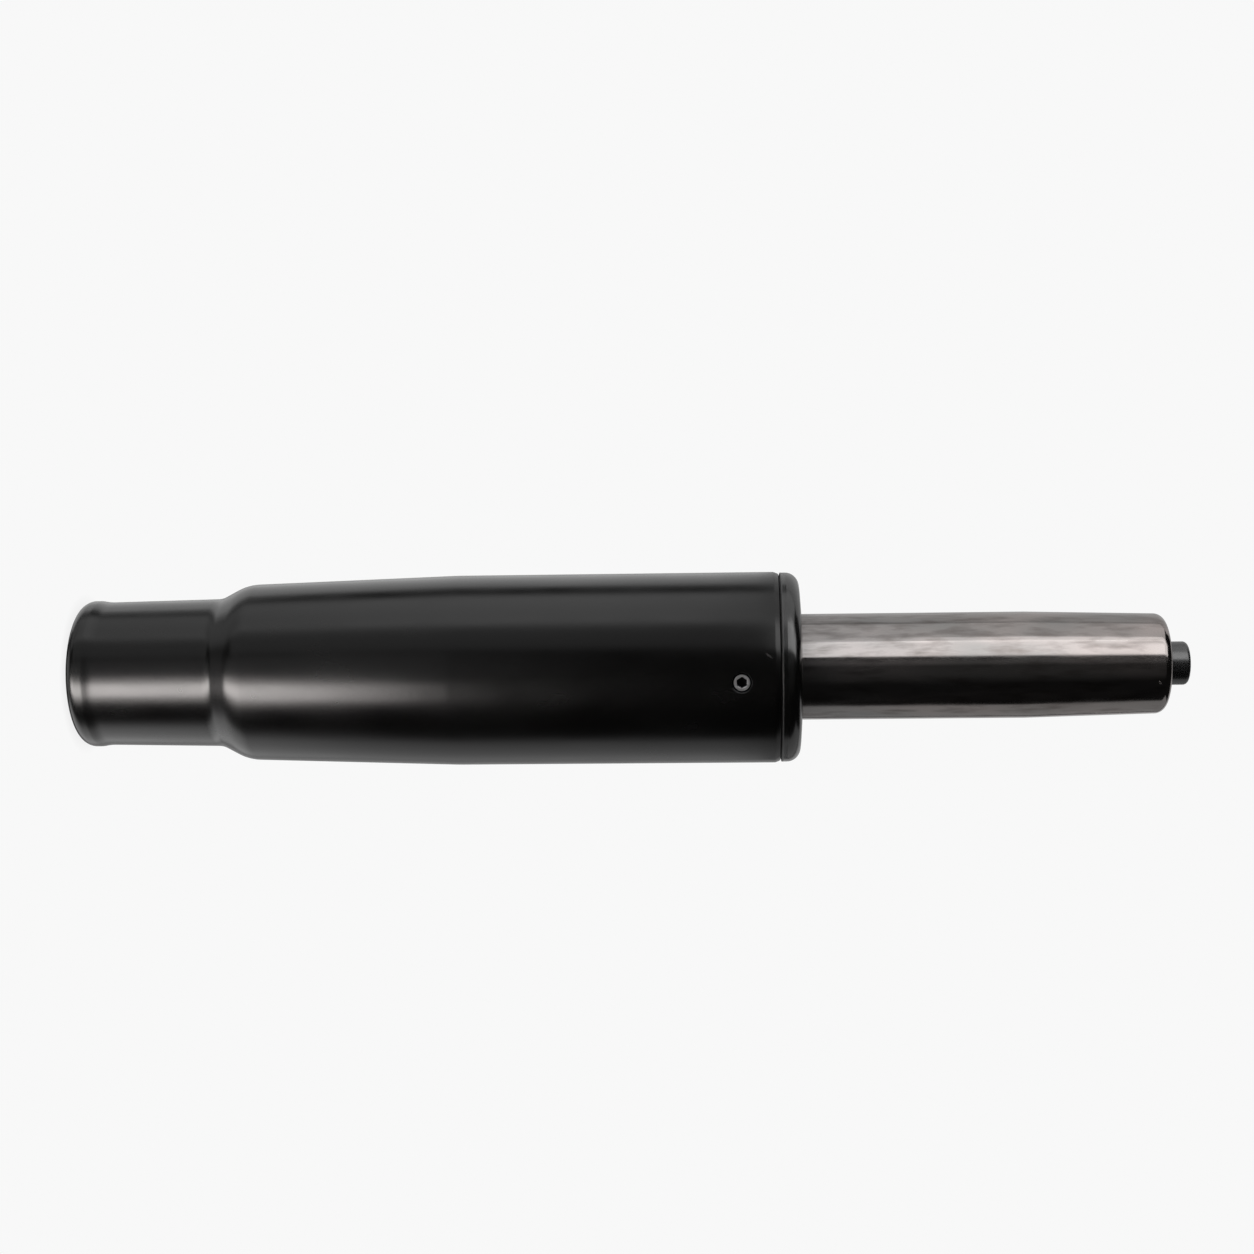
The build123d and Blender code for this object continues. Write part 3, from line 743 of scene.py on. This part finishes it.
def disc(radius, height, steps=room_steps):
    """Flat round plate: one ring of points about a middle point."""
    turn = np.arange(steps) * 2 * pi / steps
    rim = np.column_stack((radius * np.cos(turn), radius * np.sin(turn), 0 * turn + height))
    number = np.arange(steps)
    faces = np.column_stack((number, np.roll(number, -1), 0 * number + steps))
    return np.vstack((rim, (0, 0, height))), faces


stage_piece("floor", *disc(room_radius, floor_height), glow("pale floor", nearby=contact_reach))
turns = np.linspace(0, pi, room_steps // 2 + 1)
room_outline = np.column_stack((room_radius * np.sin(turns), -room_radius * np.cos(turns)))
stage_piece("room", *lathe(room_outline, steps=room_steps), glow("pale room"))


# Lights: soft boxes that stand upright round the lift, as panels whose light fades towards their edges.
# Each is placed by its angle round the axis from the camera, where up the picture is positive. Those that
# overlap stand at distances of their own, because one in the same plane would hide the other.
warm_white = "#fffaf7"


def soft_box(name, angle, distance, low, high, width, radiance,
             fade_across=0.2, fade_along=(0.03, 0.03), tint="#ffffff"):
    """Upright area light that faces the axis; power is radiance times pi times area.

    Its light is multiplied by a smooth ramp from 0 to 1 over the fade share at each edge. The two values
    of fade_along are for the lower and the upper edge.
    """
    lamp = bpy.data.lights.new(name, "AREA")
    lamp.shape = "RECTANGLE"
    lamp.size, lamp.size_y = width, high - low
    lamp.energy = radiance * pi * width * (high - low)
    lamp.color = colour(tint)[:3]
    lamp.use_nodes = True
    tree = lamp.node_tree
    tree.nodes.clear()
    place = add(tree, "SeparateXYZ", {"Vector": add(tree, "TexCoord").outputs["UV"]}).outputs
    strength = 1.0
    for share, edge, fade in (("X", 0, fade_across), ("X", 1, -fade_across),
                              ("Y", 0, fade_along[0]), ("Y", 1, -fade_along[1])):
        inputs = {"Value": place[share], "From Min": edge, "From Max": edge + fade}
        ramp = add(tree, "MapRange", inputs, interpolation_type="SMOOTHSTEP").outputs["Result"]
        strength = add(tree, "Math", {0: strength, 1: ramp}, operation="MULTIPLY").outputs[0]
    shader = add(tree, "Emission", {"Strength": strength})
    add(tree, "OutputLight", {"Surface": shader.outputs[0]})
    outwards = round_axis(angle, 1.0, 0)
    along = Vector((0, 0, 1))
    sideways = along.cross(outwards)
    holder = bpy.data.objects.new(name, lamp)
    holder.matrix_world = Matrix.Translation(outwards * distance + along * (low + high) / 2) @ Matrix(
        (sideways, along, outwards)).transposed().to_4x4()
    bpy.context.scene.collection.objects.link(holder)


# Name, angle in degrees, distance, low and high end, width, radiance, fade across, fades along, tint.
for name, angle, *box in (
    ("back above", 141, 0.9, -1.3, 0.22, 0.84, 1.04, 0.12, (0.05, 0.01)),
    ("back above tip", 135.4, 0.9, 0.22, 1.6, 1.08, 0.56, 0.12, (0.01, 0.05)),
    ("back", 188, 0.9, -0.5, 1.8, 0.9, 0.50, 0.12),
    ("above", 78, 0.5, -1.0, 0.20, 0.50, 0.62, 0.16, (0.05, 0.01)),
    ("above body", 78, 0.47, -0.3, 0.20, 0.47, 0.60, 0.16, (0.80, 0.02)),
    ("above tip", 79.2, 0.5, 0.20, 0.75, 0.55, 0.74, 0.12),
    ("above neck", 117, 0.85, -1.3, -0.17, 0.40, 0.42, 0.25, (0.05, 0.05)),
    ("below", -118, 0.5, -1.3, 0.20, 0.64, 0.62, 0.25, (0.05, 0.01)),
    ("below lip", -112, 0.47, -1.3, 0.01, 0.68, 0.82, 0.25, (0.05, 0.16)),
    ("below tip", -118, 0.5, 0.20, 0.75, 0.50, 0.32, 0.10),
    ("key", -25, 0.35, -0.585, 0.045, 0.18, 13.5, 0.25, (0.15, 0.19), warm_white),
    ("key edge above", -8.5, 0.345, -0.585, -0.045, 0.04, 4.0, 0.40, (0.15, 0.02), warm_white),
    ("key edge below", -41.5, 0.34, -0.585, -0.045, 0.04, 4.0, 0.40, (0.15, 0.02), warm_white),
    ("card", 36.9, 0.15, 0.195, 0.51, 0.0905, 1.55, 0.03, (0.008, 0.04)),
    ("card tip", 36.2, 0.145, 0.20, 0.325, 0.089, 0.40, 0.03, (0.72, 0.28)),
    ("card top", 57, 0.147, 0.20, 0.51, 0.027, 0.85, 0.12, (0.25, 0.04)),
    ("card button", 32, 0.14, 0.319, 0.365, 0.080, 0.50, 0.25, (0.06, 0.30)),
    ("fill", 44, 0.6, -0.5, 0.20, 0.46, 0.38, 0.10),
    ("low fill", 8, 0.6, -0.9, 0.09, 0.34, 0.34, 0.15, (0.05, 0.15)),
    ("edge fill", 10, 0.3, 0.20, 0.50, 0.12, 0.085, 0.45),
    ("steel fill", -10, 0.31, 0.20, 0.60, 0.36, 0.032, 0.45, (0.05, 0.20)),
):
    soft_box(name, radians(angle), *box)

# Daylight: hardly any, but for a patch straight below, which the neck's root and the rolled lip mirror.
side_light, end_light = 0.010, 0.80
patch_edge, patch_full = -0.92, -0.957
world = bpy.data.worlds.new("studio")
world.use_nodes = True
sky = world.node_tree
height = add(sky, "SeparateXYZ", {"Vector": add(sky, "TexCoord").outputs["Generated"]}).outputs["Z"]
daylight = add(sky, "MapRange", {
    "Value": height,
    "From Min": patch_edge,
    "From Max": patch_full,
    "To Min": side_light,
    "To Max": end_light,
})
sky.links.new(daylight.outputs["Result"], sky.nodes["Background"].inputs["Strength"])
sky.nodes["Background"].inputs["Color"].default_value = colour("#ffffff")
bpy.context.scene.world = world
bpy.context.scene.view_settings.view_transform = "Standard"
